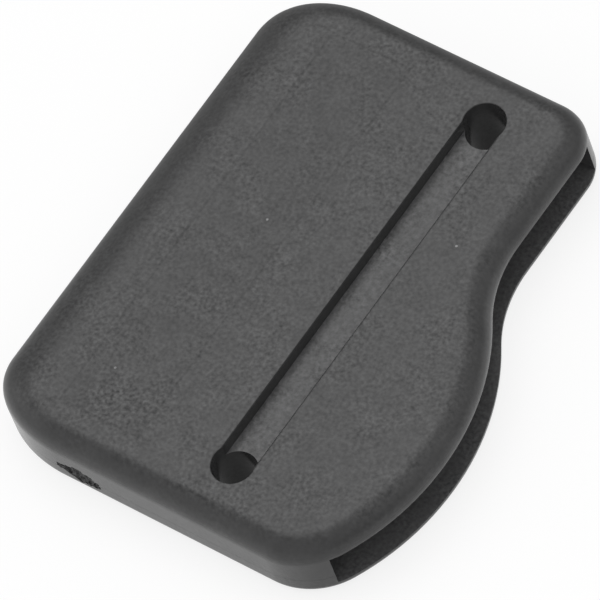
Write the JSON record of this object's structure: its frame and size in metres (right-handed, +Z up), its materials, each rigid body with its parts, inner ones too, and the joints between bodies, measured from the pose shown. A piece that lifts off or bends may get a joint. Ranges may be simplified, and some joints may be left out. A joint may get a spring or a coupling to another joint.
{
  "type": "strap slider buckle",
  "caption": "Flat dark plastic strap slider: shell case with an S-curved strap mouth along one side, a grooved top with end holes, and a sprung toothed lock bar inside.",
  "frame": {"origin": "under the middle of the case's bounding box, on the flat underside", "axes": "+X towards the strap mouth, +Y along the mouth towards its narrow end, +Z up out of the grooved face"},
  "size_m": [0.0494, 0.0604, 0.0085],
  "materials": {
    "case_plastic": "fine spark-eroded grain",
    "shoe_plastic": "smooth natural acetal",
    "bar_steel": "ground",
    "spring_steel": "drawn wire",
    "screw_steel": "dark oxide"
  },
  "bodies": {
    "case": {"upper_shell": "case_plastic", "lower_shell": "case_plastic", "return_spring_front": "spring_steel", "return_spring_back": "spring_steel", "spring_pin_front": "bar_steel", "spring_pin_back": "bar_steel", "case_screws": "screw_steel"},
    "lock": {"lock_bar": "bar_steel", "guide_shoe_front": "shoe_plastic", "guide_shoe_back": "shoe_plastic"}
  },
  "joints": [
    {"name": "lock_slide", "type": "slide", "parent": "case", "child": "lock", "axis": [1, 0, 0], "range_m": [-0.006, 0], "stiffness_N_per_m": 300, "springref_m": 0.003, "deforming": ["return_spring_front", "return_spring_back"]}
  ]
}
